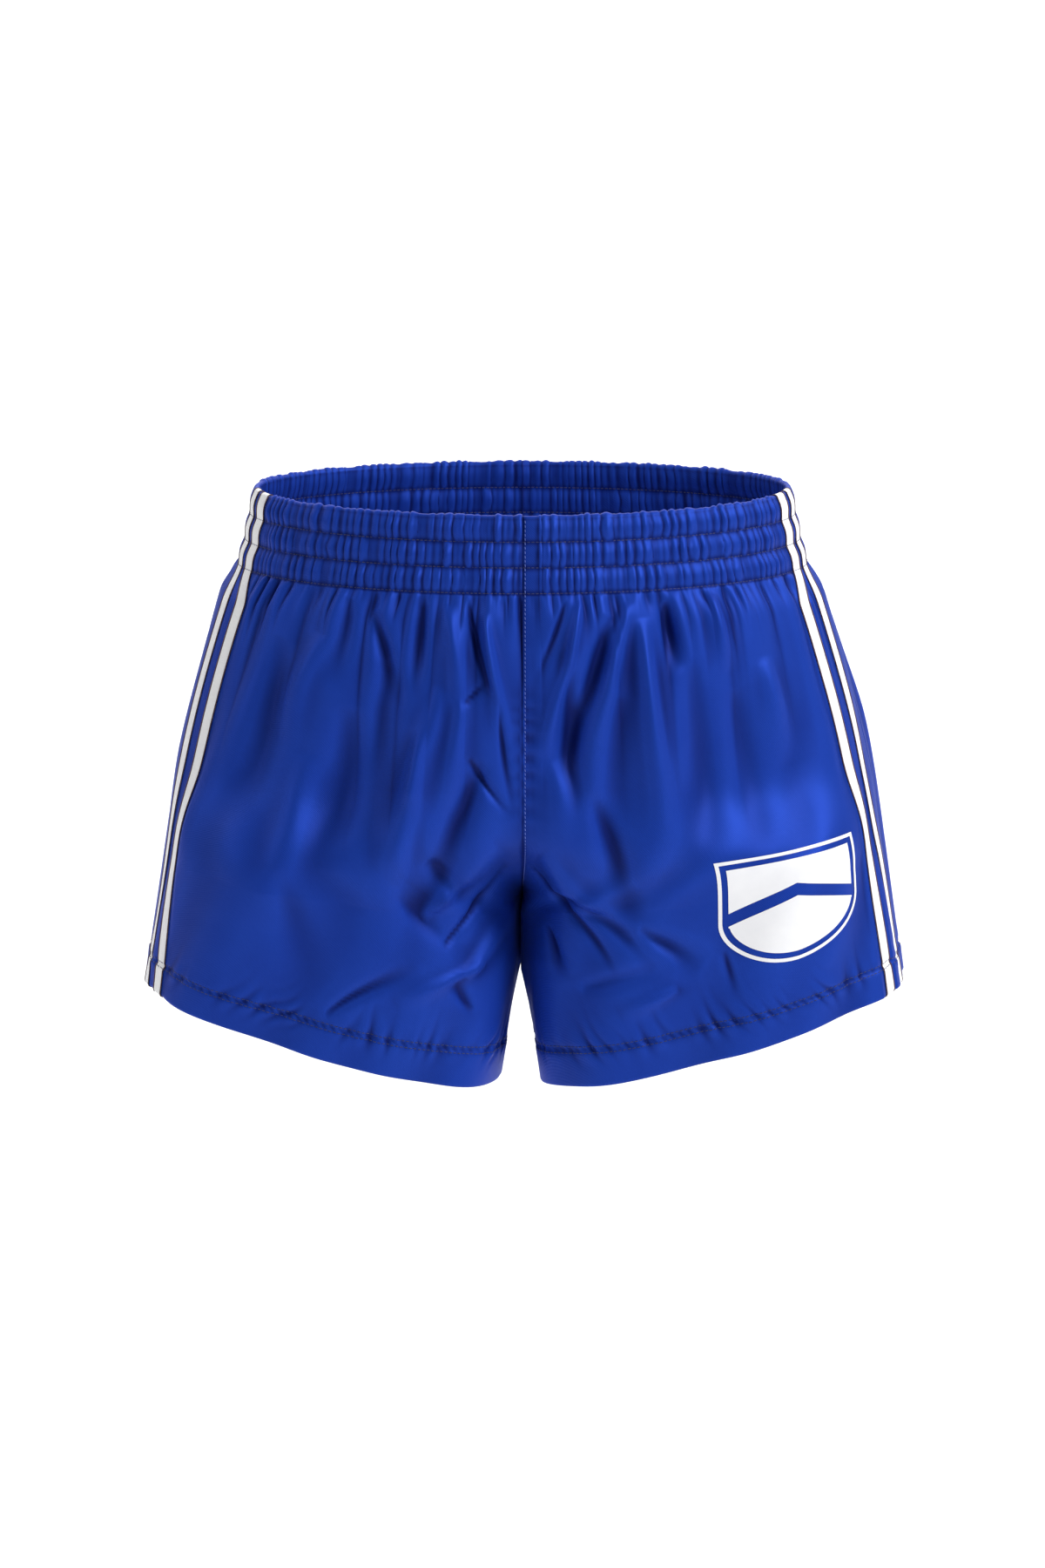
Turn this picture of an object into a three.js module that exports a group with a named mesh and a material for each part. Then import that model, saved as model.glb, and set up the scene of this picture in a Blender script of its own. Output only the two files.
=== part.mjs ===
// Pull-on woven boxing shorts, held open in the shape they take when worn.
// Millimetres. +X is the wearer's left, -Y is the front, +Z is up.
// The origin is the centre of the waist opening, half way up the elastic.
import * as THREE from "three";
import { mergeVertices } from "three/addons/utils/BufferGeometryUtils.js";
import { LoftGeometry } from "three/addons/geometries/LoftGeometry.js";

// Waistband
const BAND_HEIGHT = 47;
const CHANNELS = 3;
const CHANNEL_BULGE = 1.2;
const RIM_WIDTH = 331;
const BAND_FOOT_WIDTH = 352;

// Outer size of the body and legs
const RIM_DEPTH = 216;
const FLARE_WIDTH = 378;
const FLARE_DEPTH = 236;
const SEAT_WIDTH = 424;
const SEAT_DEPTH = 246;
const SEAT_FULLNESS = 10;
const FLARE_DROP = 21.5;
const SEAT_DROP = 125;
const CROTCH_WIDTH = 444;
const HEM_WIDTH = 469;
const LEG_DEPTH = 184;
const BODY_LENGTH = 364.5;
const RISE = 255.5;
const CROTCH_CURVE = 67;
const LEG_GAP = 32;
const SIDE_RISE = 58;
const RISE_POWER = 1.5;
const GAP_POWER = 1.8;
const CLOSING_POWER = 1.5;
const BAND_FOOT_DEPTH = 222;
const CROTCH_DEPTH = 223;
const BAND_SQUARENESS = 2;
const SEAT_SQUARENESS = 2.15;
const CROTCH_SQUARENESS = 2.35;
const LEG_SQUARENESS = 2.5;

// Cloth, elastic, tape and thread
const CLOTH = 0.6;
const CLEARANCE = 0.3;
const ELASTIC = 1.2;
const ELASTIC_GAP = 0.5;
const TAPE = 0.5;
const THREAD = 0.4;
const THREAD_WIDTH = 0.8;
const HEM_DEPTH = 25;
const HEM_ROW_SPACING = 4;
const CASING_ALLOWANCE = 3;
const SEAM_ALLOWANCE = 9;
const ALLOWANCE_THICKNESS = 0.8;
const TOPSTITCH_INSET = 1.6;
const TOPSTITCH_END = 0.5;

// Side stripes, measured from the side seam toward the front
const STRIPE_WIDTH = 11;
const STRIPE_GAP = 10;
const STRIPE_SET_BACK = 20;
const BAND_STRIPE_GAP = 4.5;
const BAND_STRIPE_SET_BACK = 11.5;

// Printed shield on the wearer's left leg
const MARK_WIDTH = 100;
const MARK_HEIGHT = 80;
const MARK_FROM_SIDE = 118;
const MARK_ABOVE_HEM = 96;
const MARK_SHOULDER = 0.1;
const MARK_FOOT_POWER = 1.7;
const MARK_FLANK = -0.45;
const MARK_LINE = 2.5;
const MARK_GAP = 4;
const MARK_BAND = 9;
const MARK_BAND_RISE = 14;
const PRINT = 0.3;
const PRINT_LIFT = 0.9;

// Sampling of the surfaces
const OUTLINE_STEPS = 480;
const SLOPE_STEP = 0.5;
const FRONT_DIVISIONS = 8;
const BACK_DIVISIONS = 9;

const RIM_LEVEL = BAND_HEIGHT / 2;
const BAND_FOOT = -BAND_HEIGHT / 2;
const HEM_LEVEL = RIM_LEVEL - BODY_LENGTH;
const CROTCH_LEVEL = RIM_LEVEL - RISE;
const CURVE_TOP = CROTCH_LEVEL + CROTCH_CURVE;
const BAND_STACK = CLOTH + ELASTIC_GAP + ELASTIC + ELASTIC_GAP + CLOTH;
const HEM_STACK = CLOTH + CLEARANCE + CLOTH;
const FLARE_LEVEL = BAND_FOOT - FLARE_DROP;
const SEAT_LEVEL = BAND_FOOT - SEAT_DROP;
const MARK_LEVEL = HEM_LEVEL + MARK_ABOVE_HEM;

// Levels run from the rim down. Each level is one line round the body.
const CHANNEL = BAND_HEIGHT / CHANNELS;
const BAND_TOP = RIM_LEVEL - BAND_STACK / 2;
const HEM_FOLD = HEM_LEVEL + HEM_STACK / 2;
const HEM_ROW_UPPER = HEM_LEVEL + HEM_DEPTH;
const HEM_ROW_LOWER = HEM_ROW_UPPER - HEM_ROW_SPACING;
const HEM_EDGE = HEM_ROW_UPPER + CASING_ALLOWANCE;
const ROWS = [1, 2, 3].map((row) => RIM_LEVEL - row * CHANNEL);
const CASING_EDGE = BAND_FOOT - CASING_ALLOWANCE;

const bandLevels = [BAND_TOP];
for (const row of ROWS) {
  bandLevels.push(row + CHANNEL / 2);
  bandLevels.push(row);
}
bandLevels.push(CASING_EDGE);

const bodyLevels = [];
for (const share of [0.1, 0.24, 0.42, 0.68, 1]) {
  bodyLevels.push(CASING_EDGE + (CURVE_TOP - CASING_EDGE) * share);
}
for (const turn of [20, 38, 54, 68, 80, 90]) {
  bodyLevels.push(CURVE_TOP - CROTCH_CURVE * Math.sin(THREE.MathUtils.degToRad(turn)));
}
for (const share of [0.22, 0.6, 1]) {
  bodyLevels.push(CROTCH_LEVEL + (HEM_EDGE - CROTCH_LEVEL) * share);
}
const hemLevels = [HEM_ROW_UPPER, HEM_ROW_LOWER, HEM_FOLD];
const allLevels = [...bandLevels, ...bodyLevels, ...hemLevels];

// A smooth line through stations of [level, value], listed from the top down.
function through(stations) {
  return (level) => {
    const last = stations.length - 2;
    let at = 0;
    while (at < last && level < stations[at + 1][0]) {
      at += 1;
    }
    const [topLevel, topValue] = stations[at];
    const [footLevel, footValue] = stations[at + 1];
    const slope = (index) => {
      const from = Math.max(index - 1, 0);
      const to = Math.min(index + 1, stations.length - 1);
      return (stations[to][1] - stations[from][1]) / (stations[to][0] - stations[from][0]);
    };
    const span = footLevel - topLevel;
    const t = THREE.MathUtils.clamp((level - topLevel) / span, 0, 1);
    const rise = t * t * (3 - 2 * t);
    const easeTop = t * (1 - t) * (1 - t) * span * slope(at);
    const easeFoot = t * t * (t - 1) * span * slope(at + 1);
    return topValue + (footValue - topValue) * rise + easeTop + easeFoot;
  };
}

const halfWidth = through([
  [RIM_LEVEL, RIM_WIDTH / 2],
  [BAND_FOOT, BAND_FOOT_WIDTH / 2],
  [FLARE_LEVEL, FLARE_WIDTH / 2],
  [SEAT_LEVEL, SEAT_WIDTH / 2],
  [CROTCH_LEVEL, CROTCH_WIDTH / 2],
  [HEM_LEVEL, HEM_WIDTH / 2],
]);
const halfDepth = through([
  [RIM_LEVEL, RIM_DEPTH / 2],
  [BAND_FOOT, BAND_FOOT_DEPTH / 2],
  [FLARE_LEVEL, FLARE_DEPTH / 2],
  [SEAT_LEVEL, SEAT_DEPTH / 2],
  [CROTCH_LEVEL, CROTCH_DEPTH / 2],
  [HEM_LEVEL, LEG_DEPTH / 2],
]);
const fullness = through([
  [RIM_LEVEL, 0],
  [BAND_FOOT, 0],
  [SEAT_LEVEL, SEAT_FULLNESS],
  [CROTCH_LEVEL, SEAT_FULLNESS / 2],
  [HEM_LEVEL, 0],
]);
const squareness = through([
  [RIM_LEVEL, BAND_SQUARENESS],
  [BAND_FOOT, BAND_SQUARENESS],
  [SEAT_LEVEL, SEAT_SQUARENESS],
  [CROTCH_LEVEL, CROTCH_SQUARENESS],
  [HEM_LEVEL, LEG_SQUARENESS],
]);

function innerEdge(level) {
  const below = Math.max(0, CROTCH_LEVEL - level) / (CROTCH_LEVEL - HEM_LEVEL);
  return (LEG_GAP / 2) * below ** GAP_POWER;
}

// How far one level line has closed from a half oval of the body to a full oval of the leg.
function closing(level) {
  const share = THREE.MathUtils.clamp((CURVE_TOP - level) / CROTCH_CURVE, 0, 1);
  return 1 - (1 - share * share) ** CLOSING_POWER;
}

// The outline of the wearer's left half at a level, from the front end by the side to the back.
const outlines = new Map();
function outline(level) {
  if (outlines.has(level)) {
    return outlines.get(level);
  }
  const inner = innerEdge(level);
  const outer = halfWidth(level);
  const power = 2 / squareness(level);
  const closed = closing(level);
  const radius = (outer - inner) / (1 + closed);
  const centre = inner + radius * closed;
  const turn = Math.PI - Math.acos(closed ** (1 / power));
  const points = [];
  for (let step = 0; step <= OUTLINE_STEPS; step += 1) {
    const angle = turn * ((2 * step) / OUTLINE_STEPS - 1);
    const across = Math.cos(angle);
    const along = Math.sin(angle);
    const depth = halfDepth(level) + (along > 0 ? fullness(level) : 0);
    const x = centre + radius * Math.sign(across) * Math.abs(across) ** power;
    const y = depth * Math.sign(along) * Math.abs(along) ** power;
    points.push(new THREE.Vector2(x + CLEARANCE / 2, y));
  }
  const lengths = [0];
  for (let step = 1; step <= OUTLINE_STEPS; step += 1) {
    lengths.push(lengths[step - 1] + points[step].distanceTo(points[step - 1]));
  }
  const side = lengths[OUTLINE_STEPS / 2];
  const result = { points, lengths, front: side, back: lengths[OUTLINE_STEPS] - side };
  outlines.set(level, result);
  return result;
}

// The plan position at a distance from the side seam, minus toward the front.
function planPoint(level, fromSide) {
  const { points, lengths, front } = outline(level);
  const target = THREE.MathUtils.clamp(front + fromSide, 0, lengths[OUTLINE_STEPS]);
  let low = 0;
  let high = OUTLINE_STEPS;
  while (high - low > 1) {
    const middle = (low + high) >> 1;
    if (lengths[middle] <= target) {
      low = middle;
    } else {
      high = middle;
    }
  }
  const share = (target - lengths[low]) / (lengths[high] - lengths[low]);
  return points[low].clone().lerp(points[high], share);
}

// The hem climbs toward the side, and the levels above it climb less and less.
function climb(level, x) {
  const inner = innerEdge(level);
  const across = THREE.MathUtils.clamp((x - inner) / (halfWidth(level) - inner), 0, 1);
  const down = Math.max(0, BAND_FOOT - level) / (BAND_FOOT - HEM_LEVEL);
  return SIDE_RISE * across ** RISE_POWER * down ** RISE_POWER;
}

function bodyPoint(level, fromSide) {
  const plan = planPoint(level, fromSide);
  return new THREE.Vector3(plan.x, plan.y, level + climb(level, plan.x));
}

// The cloth's face at a place: position, outward direction, and the way down.
function faceFrame(level, fromSide) {
  const { front, back } = outline(level);
  const near = Math.max(fromSide - SLOPE_STEP, -front);
  const far = Math.min(fromSide + SLOPE_STEP, back);
  const along = bodyPoint(level, far).sub(bodyPoint(level, near));
  const high = Math.min(level + SLOPE_STEP, RIM_LEVEL);
  const low = Math.max(level - SLOPE_STEP, HEM_LEVEL);
  const share = fromSide < 0 ? fromSide / front : fromSide / back;
  const scaled = (at) => share * (fromSide < 0 ? outline(at).front : outline(at).back);
  const down = bodyPoint(low, scaled(low)).sub(bodyPoint(high, scaled(high)));
  const planLength = along.x * along.x + along.y * along.y;
  const drift = (down.x * along.x + down.y * along.y) / planLength;
  down.addScaledVector(along, -drift).normalize();
  const out = new THREE.Vector3().crossVectors(down, along).normalize();
  return { at: bodyPoint(level, fromSide), out, down };
}

function place(frame, outward, downward = 0) {
  return frame.at.clone().addScaledVector(frame.out, outward).addScaledVector(frame.down, downward);
}

// The cloth between two stitched rows is filled by the elastic and stands out.
function bulge(level) {
  if (level > BAND_TOP || level < BAND_FOOT) {
    return 0;
  }
  const share = (RIM_LEVEL - level) / CHANNEL;
  return CHANNEL_BULGE * Math.sin(Math.PI * share) ** 2;
}

// Stops of the folded cloth: turned hem, outside from hem to rim, over the rim, inside of band.
function hemStops() {
  const stops = [HEM_EDGE, HEM_ROW_UPPER, HEM_ROW_LOWER, HEM_FOLD].map((level) => ({
    level,
    turn: 180,
    stack: HEM_STACK,
    sign: 1,
  }));
  stops.push({ level: HEM_FOLD, turn: 90, stack: HEM_STACK, sign: 1 });
  return stops;
}

function outerStops(levels) {
  return [...levels].reverse().map((level) => ({ level, turn: 0, stack: 0, sign: 1 }));
}

function bandStops() {
  const stops = [45, 90, 135].map((turn) => ({
    level: BAND_TOP,
    turn,
    stack: BAND_STACK,
    sign: -1,
  }));
  for (const level of bandLevels) {
    stops.push({ level, turn: 180, stack: BAND_STACK, sign: -1 });
  }
  return stops;
}

function wholePath() {
  return [...hemStops(), ...outerStops(allLevels), ...bandStops()];
}

// A point on or off the cloth's face at one stop of the folded path.
function atStop(stop, fromSide, offFace) {
  const frame = faceFrame(stop.level, fromSide);
  const swell = stop.turn === 0 ? bulge(stop.level) : 0;
  const radius = stop.stack / 2;
  const turn = THREE.MathUtils.degToRad(stop.turn);
  const outward = Math.cos(turn) * (radius + offFace) - radius + swell;
  const downward = Math.sin(turn) * (radius + offFace) * stop.sign;
  return place(frame, outward, downward);
}

// Distance of each stripe edge from the side seam at a level.
function stripeEdges(level) {
  const share = THREE.MathUtils.smoothstep(-level, -BAND_FOOT, -FLARE_LEVEL);
  const gap = THREE.MathUtils.lerp(BAND_STRIPE_GAP, STRIPE_GAP, share);
  const setBack = THREE.MathUtils.lerp(BAND_STRIPE_SET_BACK, STRIPE_SET_BACK, share);
  const rear = [-setBack - STRIPE_WIDTH, -setBack];
  const front = [rear[0] - gap - STRIPE_WIDTH, rear[0] - gap];
  return { front, rear };
}

function evenly(from, to, count) {
  const places = [];
  for (let index = 1; index < count; index += 1) {
    places.push(from + ((to - from) * index) / count);
  }
  return places;
}

// Lines down the front panel, as distances from the side seam.
function frontLines(level) {
  const { front, rear } = stripeEdges(level);
  const edge = -outline(level).front + CLEARANCE / 2;
  const allowance = edge + SEAM_ALLOWANCE;
  const main = evenly(allowance, front[0], FRONT_DIVISIONS);
  return [edge, allowance, ...main, ...front, ...rear, rear[1] / 2, -CLEARANCE / 2];
}

function backLines(level) {
  const edge = outline(level).back - CLEARANCE / 2;
  const allowance = edge - SEAM_ALLOWANCE;
  const first = CLEARANCE / 2 + SEAM_ALLOWANCE;
  return [CLEARANCE / 2, first, ...evenly(first, allowance, BACK_DIVISIONS), allowance, edge];
}

// The flat strip that closes one end of a sheet, from its face side across to its other side.
function endStrip(first, count) {
  const corners = [];
  for (let at = 0; at < count / 2 - 1; at += 1) {
    const [face, next] = [first + at, first + at + 1];
    const [back, nextBack] = [first + count - 1 - at, first + count - 2 - at];
    corners.push(face, next, nextBack, face, nextBack, back);
  }
  return corners;
}

function turnedOver(corners) {
  return corners.map((corner, at) => corners[at - (at % 3) + 2 - (at % 3)]);
}

// The walls of a loft, with the quads of the two long sides split along facing diagonals.
function wallCorners(loft, count) {
  const corners = Array.from(loft.getIndex().array);
  for (let at = 0; at < corners.length; at += 6) {
    const [a, b, d] = corners.slice(at, at + 3);
    const c = corners[at + 4];
    if (a % (count + 1) >= count / 2) {
      corners.splice(at, 6, a, b, c, a, c, d);
    }
  }
  return corners;
}

// A body from a loft, with its ends closed unless its last section is its first one again.
function loftBody(sections) {
  const ring = sections[0][0].distanceTo(sections.at(-1)[0]) < 1e-9;
  const loft = new LoftGeometry(sections);
  const count = sections[0].length;
  const corners = wallCorners(loft, count);
  if (!ring) {
    const last = (sections.length - 1) * (count + 1);
    corners.push(...turnedOver(endStrip(0, count)), ...endStrip(last, count));
  }
  const body = new THREE.BufferGeometry();
  body.setAttribute("position", loft.getAttribute("position"));
  body.setIndex(corners);
  const geometry = mergeVertices(body, 1e-5);
  geometry.computeVertexNormals();
  return geometry;
}

// Each section goes along the face side of the piece and back along its other side.
function sheet(stops, linesAt, faceOffset, backOffset) {
  return stops.map((stop) => {
    const lines = linesAt(stop.level);
    const face = lines.map((line) => atStop(stop, line, faceOffset));
    const back = lines.map((line) => atStop(stop, line, backOffset));
    return [...face, ...back.reverse()];
  });
}

function mirrored(sections) {
  const flip = (point) => new THREE.Vector3(-point.x, point.y, point.z);
  return sections.map((section) => section.map(flip).reverse());
}

// A dull or slightly shiny textile. Each piece gets a material of its own.
function finish(color, roughness) {
  return () => new THREE.MeshStandardMaterial({ color, roughness, metalness: 0 });
}

const cloth = finish(0x1f3fa0, 0.42);
const elasticWeb = finish(0xdedfe2, 0.85);
const tape = finish(0xe9e9ec, 0.6);
const blueThread = finish(0x15307f, 0.7);
const darkThread = finish(0x4a2a3a, 0.7);
const boundEdge = finish(0x15307f, 0.75);
const print = finish(0xf0f1f4, 0.5);

const shorts = new THREE.Group();

function add(name, sections, material) {
  const mesh = new THREE.Mesh(loftBody(sections), material);
  mesh.name = name;
  shorts.add(mesh);
}

// One piece for each leg from the same shape. The wearer's left is +X.
function addPair(name, sections, material) {
  add(`${name}_left`, sections, material());
  add(`${name}_right`, mirrored(sections), material());
}

function frontPanel() {
  return sheet(wholePath(), frontLines, 0, -CLOTH);
}

function backPanel() {
  return sheet(wholePath(), backLines, 0, -CLOTH);
}

function stripe(which) {
  const linesAt = (level) => stripeEdges(level)[which];
  return sheet(wholePath(), linesAt, CLEARANCE + TAPE, CLEARANCE);
}

// The thread that holds one edge of a stripe, on top of the tape and just inside its edge.
function stripeThread(which, edge) {
  const linesAt = (level) => {
    const [front, rear] = stripeEdges(level)[which];
    return edge === 0 ? [front, front + THREAD_WIDTH] : [rear - THREAD_WIDTH, rear];
  };
  const face = CLEARANCE + TAPE + CLEARANCE;
  const aboveHem = allLevels.filter((level) => level > HEM_ROW_UPPER + THREAD_WIDTH);
  return sheet(outerStops(aboveHem), linesAt, face + THREAD, face);
}

// The lines all the way round the waist, as [side, distance from the side seam].
function roundWaist(level) {
  const { front, back } = outline(level);
  const inner = [...frontLines(level).slice(1, -1), 0, ...backLines(level).slice(1, -1)];
  const right = inner.map((line) => [-1, line]);
  const left = inner.map((line) => [1, line]);
  return [[1, -front], ...left, [1, back], ...right.reverse()];
}

// A cord or web round the waist through the given levels, from its outer to its inner face.
function waistRing(levels, offsets) {
  const lines = roundWaist(levels[0]);
  const sections = lines.map(([side], index) => {
    const corners = [];
    for (const face of ["outer", "inner"]) {
      for (const level of face === "outer" ? levels : [...levels].reverse()) {
        const line = roundWaist(level)[index][1];
        const corner = place(faceFrame(level, line), offsets(line)[face]);
        const middle = index === 0 || line === outline(level).back;
        corner.x = middle ? 0 : corner.x * side;
        corners.push(corner);
      }
    }
    return corners;
  });
  return [...sections, sections[0]];
}

function waistElastic() {
  const outer = -CLOTH - ELASTIC_GAP;
  const levels = [...bandLevels.slice(0, -2), BAND_FOOT];
  return waistRing(levels, () => ({ outer, inner: outer - ELASTIC }));
}

function onStripe(level, line) {
  const reach = 0.1;
  const { front, rear } = stripeEdges(level);
  return [front, rear].some((pair) => line >= pair[0] - reach && line <= pair[1] + reach);
}

// Hem thread rides over the stripes, and over the cloth between them.
function hemRide(level, line) {
  return onStripe(level, line) ? CLEARANCE + TAPE + CLEARANCE : CLEARANCE;
}

// Waist thread also rides over the stripes' edge thread and over the topstitch at the front seam.
function waistRide(level, line) {
  if (onStripe(level, line)) {
    return CLEARANCE + TAPE + CLEARANCE + THREAD + CLEARANCE;
  }
  const byTopstitch = line < frontLines(level)[2];
  return byTopstitch ? CLEARANCE + THREAD + CLEARANCE : CLEARANCE;
}

function waistRow(index) {
  const row = ROWS[index];
  const half = THREAD_WIDTH / 2;
  const offsets = (line) => {
    const inner = waistRide(row, line);
    return { inner, outer: inner + THREAD };
  };
  return waistRing([row + half, row - half], offsets);
}

// A row of stitching round one leg.
function hemRow(level) {
  const lines = [...frontLines(level), ...backLines(level)];
  const sections = lines.map((line) => {
    const frame = faceFrame(level, line);
    const inner = hemRide(level, line);
    const outer = inner + THREAD;
    const half = THREAD_WIDTH / 2;
    return [
      place(frame, outer, -half),
      place(frame, outer, half),
      place(frame, inner, half),
      place(frame, inner, -half),
    ];
  });
  return [...sections, sections[0]];
}

// A strip inside the cloth beside a seam: the two cloth edges bound together by thread.
function seamAllowance(levels, linesAt) {
  const face = -CLOTH - CLEARANCE;
  return sheet(outerStops(levels), linesAt, face, face - ALLOWANCE_THICKNESS);
}

const insideLevels = allLevels.filter((level) => level < CASING_EDGE && level > HEM_EDGE);
const riseLevels = [CASING_EDGE - 1, ...insideLevels.filter((level) => level > CROTCH_LEVEL)];
const seamLevels = [CASING_EDGE - 1, ...insideLevels, HEM_EDGE + 1];
const inseamLevels = seamLevels.filter((level) => level < CROTCH_LEVEL);

function riseTopstitch() {
  const linesAt = (level) => {
    const edge = -outline(level).front + TOPSTITCH_INSET;
    return [edge, edge + THREAD_WIDTH];
  };
  const above = allLevels.filter((level) => level > CURVE_TOP - CROTCH_CURVE * TOPSTITCH_END);
  return sheet(outerStops(above), linesAt, CLEARANCE + THREAD, CLEARANCE);
}

addPair("front_panel", frontPanel(), cloth);
addPair("back_panel", backPanel(), cloth);
add("waist_elastic", waistElastic(), elasticWeb());
for (const which of ["front", "rear"]) {
  addPair(`${which}_stripe`, stripe(which), tape);
}
for (const index of [0, 1, 2]) {
  add(`waist_stitch_row_${index + 1}`, waistRow(index), blueThread());
}
addPair("hem_stitch_upper", hemRow(HEM_ROW_UPPER), blueThread);
addPair("hem_stitch_lower", hemRow(HEM_ROW_LOWER), blueThread);

// Half the width of the shield is 1, and so is half its height. It is 1 wide down to its shoulder.
function shieldFoot(across) {
  const rounded = Math.sqrt(Math.max(0, 1 - Math.abs(across) ** MARK_FOOT_POWER));
  return MARK_SHOULDER + (1 - MARK_SHOULDER) * rounded;
}

// A point of the print on the curved cloth, from distances across and down from its middle.
function onMark(across, down, lift) {
  const level = MARK_LEVEL - down;
  return place(faceFrame(level, across - MARK_FROM_SIDE), lift);
}

function markCorners(outside, inside) {
  const top = PRINT_LIFT + PRINT;
  return [
    onMark(...outside, PRINT_LIFT),
    onMark(...outside, top),
    onMark(...inside, top),
    onMark(...inside, PRINT_LIFT),
  ];
}

function markOutline() {
  const contour = [];
  for (const across of [-1, -0.6, -0.2, 0.2, 0.6, 1]) {
    contour.push([across, -1]);
  }
  contour.push([1, MARK_FLANK]);
  for (const turn of [0, 12, 26, 42, 60, 76, 90, 104, 120, 138, 154, 168, 180]) {
    const across = Math.cos(THREE.MathUtils.degToRad(turn));
    contour.push([across, shieldFoot(across)]);
  }
  contour.push([-1, MARK_FLANK]);
  const halfWide = MARK_WIDTH / 2;
  const halfHigh = MARK_HEIGHT / 2;
  const sections = contour.map(([across, down]) =>
    markCorners(
      [across * halfWide, down * halfHigh],
      [across * (halfWide - MARK_LINE), down * (halfHigh - MARK_LINE)],
    ),
  );
  return [...sections, sections[0]];
}

// A filled part of the shield between two lines, as upright slices.
function markField(topAt, footAt) {
  const halfWide = MARK_WIDTH / 2 - MARK_LINE - MARK_GAP;
  const top = PRINT_LIFT + PRINT;
  const sections = [];
  for (const across of [-1, -0.9, -0.75, -0.5, -0.25, 0, 0.25, 0.5, 0.75, 0.9, 1]) {
    const downs = [0, 1 / 3, 2 / 3, 1].map((share) =>
      THREE.MathUtils.lerp(topAt(across), footAt(across), share),
    );
    const face = downs.map((down) => onMark(across * halfWide, down, top));
    const back = downs.map((down) => onMark(across * halfWide, down, PRINT_LIFT));
    sections.push([...face, ...back.reverse()]);
  }
  return sections;
}

const fieldHeight = MARK_HEIGHT / 2 - MARK_LINE - MARK_GAP;
const bandMiddle = (across) => MARK_BAND_RISE * (Math.abs(across) - 0.5) - MARK_BAND / 2;

function markUpper() {
  return markField(
    () => -fieldHeight,
    (across) => bandMiddle(across) - MARK_BAND / 2,
  );
}

function markLower() {
  return markField(
    (across) => bandMiddle(across) + MARK_BAND / 2,
    (across) => Math.max(fieldHeight * shieldFoot(across), bandMiddle(across) + MARK_BAND / 2 + 1),
  );
}

addPair("front_stripe_thread_front", stripeThread("front", 0), darkThread);
addPair("front_stripe_thread_rear", stripeThread("front", 1), darkThread);
addPair("rear_stripe_thread_front", stripeThread("rear", 0), darkThread);
addPair("rear_stripe_thread_rear", stripeThread("rear", 1), darkThread);

const frontEdgeLines = (level) => frontLines(level).slice(0, 2);
const backEdgeLines = (level) => backLines(level).slice(-2);
const sideEdgeLines = (level) => backLines(level).slice(0, 2);
add("front_rise_topstitch", riseTopstitch(), blueThread());
add("front_rise_allowance", seamAllowance(riseLevels, frontEdgeLines), boundEdge());
add("back_rise_allowance", seamAllowance(riseLevels, backEdgeLines), boundEdge());
addPair("side_seam_allowance", seamAllowance(seamLevels, sideEdgeLines), boundEdge);
addPair("inseam_allowance", seamAllowance(inseamLevels, backEdgeLines), boundEdge);
add("mark_outline", markOutline(), print());
add("mark_upper_field", markUpper(), print());
add("mark_lower_field", markLower(), print());

export default shorts;
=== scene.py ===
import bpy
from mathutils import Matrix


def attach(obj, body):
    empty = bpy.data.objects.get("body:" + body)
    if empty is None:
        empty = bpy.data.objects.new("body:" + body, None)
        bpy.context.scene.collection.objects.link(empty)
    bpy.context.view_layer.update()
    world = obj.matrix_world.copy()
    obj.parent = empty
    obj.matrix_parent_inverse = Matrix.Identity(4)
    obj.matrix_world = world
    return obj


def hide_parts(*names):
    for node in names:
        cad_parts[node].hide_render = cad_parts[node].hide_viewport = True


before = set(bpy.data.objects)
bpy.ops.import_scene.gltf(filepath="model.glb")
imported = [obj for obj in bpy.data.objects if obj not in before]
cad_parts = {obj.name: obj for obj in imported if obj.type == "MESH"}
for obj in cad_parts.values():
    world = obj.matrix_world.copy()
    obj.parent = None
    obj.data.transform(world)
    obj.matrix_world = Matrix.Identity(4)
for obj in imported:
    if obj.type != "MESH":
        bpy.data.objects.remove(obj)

"""Boxing shorts: satin cloth with an elastic waist, white side stripes and stitched hems.

Lengths are worked out in millimetres and go into the meshes in metres. A place on the cloth is a
level (the height of a line round the body, before the hem climbs to the side) and a share (-1 at the
front seam, 0 at the side seam, 1 at the back seam). The side is 1 for the wearer's left, -1 for the
right.
"""
import math

import bmesh
import bpy
import numpy as np
from mathutils import Vector

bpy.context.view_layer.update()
MM = 0.001

# Levels of the band, of one of its three channels, of the hem and of the crotch
RIM = 23.5
FOOT = -23.5
CHANNEL = (RIM - FOOT) / 3
HEM = -341.0
CROTCH = -232.0
# Height of the curve by which the front and back seams run into the crotch
CURVE = 67.0
CURVE_TOP = CROTCH + CURVE
# The gap between the legs at the hem, the level where it opens, and how it grows downward
LEG_GAP = 28.0
OPENING = -266.0
GAP_POWER = 0.95
# How far the hem climbs to the side, and how the climb grows across and down a leg
SIDE_RISE = 58.0
CLIMB_POWER = 1.5
# Dip of the waist at the front, per mm forward of its middle
FRONT_DIP = 0.04
# How the body closes into two legs, and the steps in mm over which that is averaged
CLOSING_POWER = 2.1
CLOSING_SPREAD = np.array([0, 4, 8, 12, 16, 20])
# Added squareness of the inner fold of each leg at the hem
INNER_SQUARENESS = 1.1
# Thickness from face to face of the band with its elastic, and of the turned hem
STACK = 3.4
HEM_STACK = 1.5
# Rows of hem stitching, and the inner edges of the turned hem and of the band's casing
HEM_ROW = HEM + 25.0
HEM_ROW_STEP = 4.0
HEM_EDGE = HEM_ROW + 3.0
CASING_EDGE = FOOT - 3.0
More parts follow.
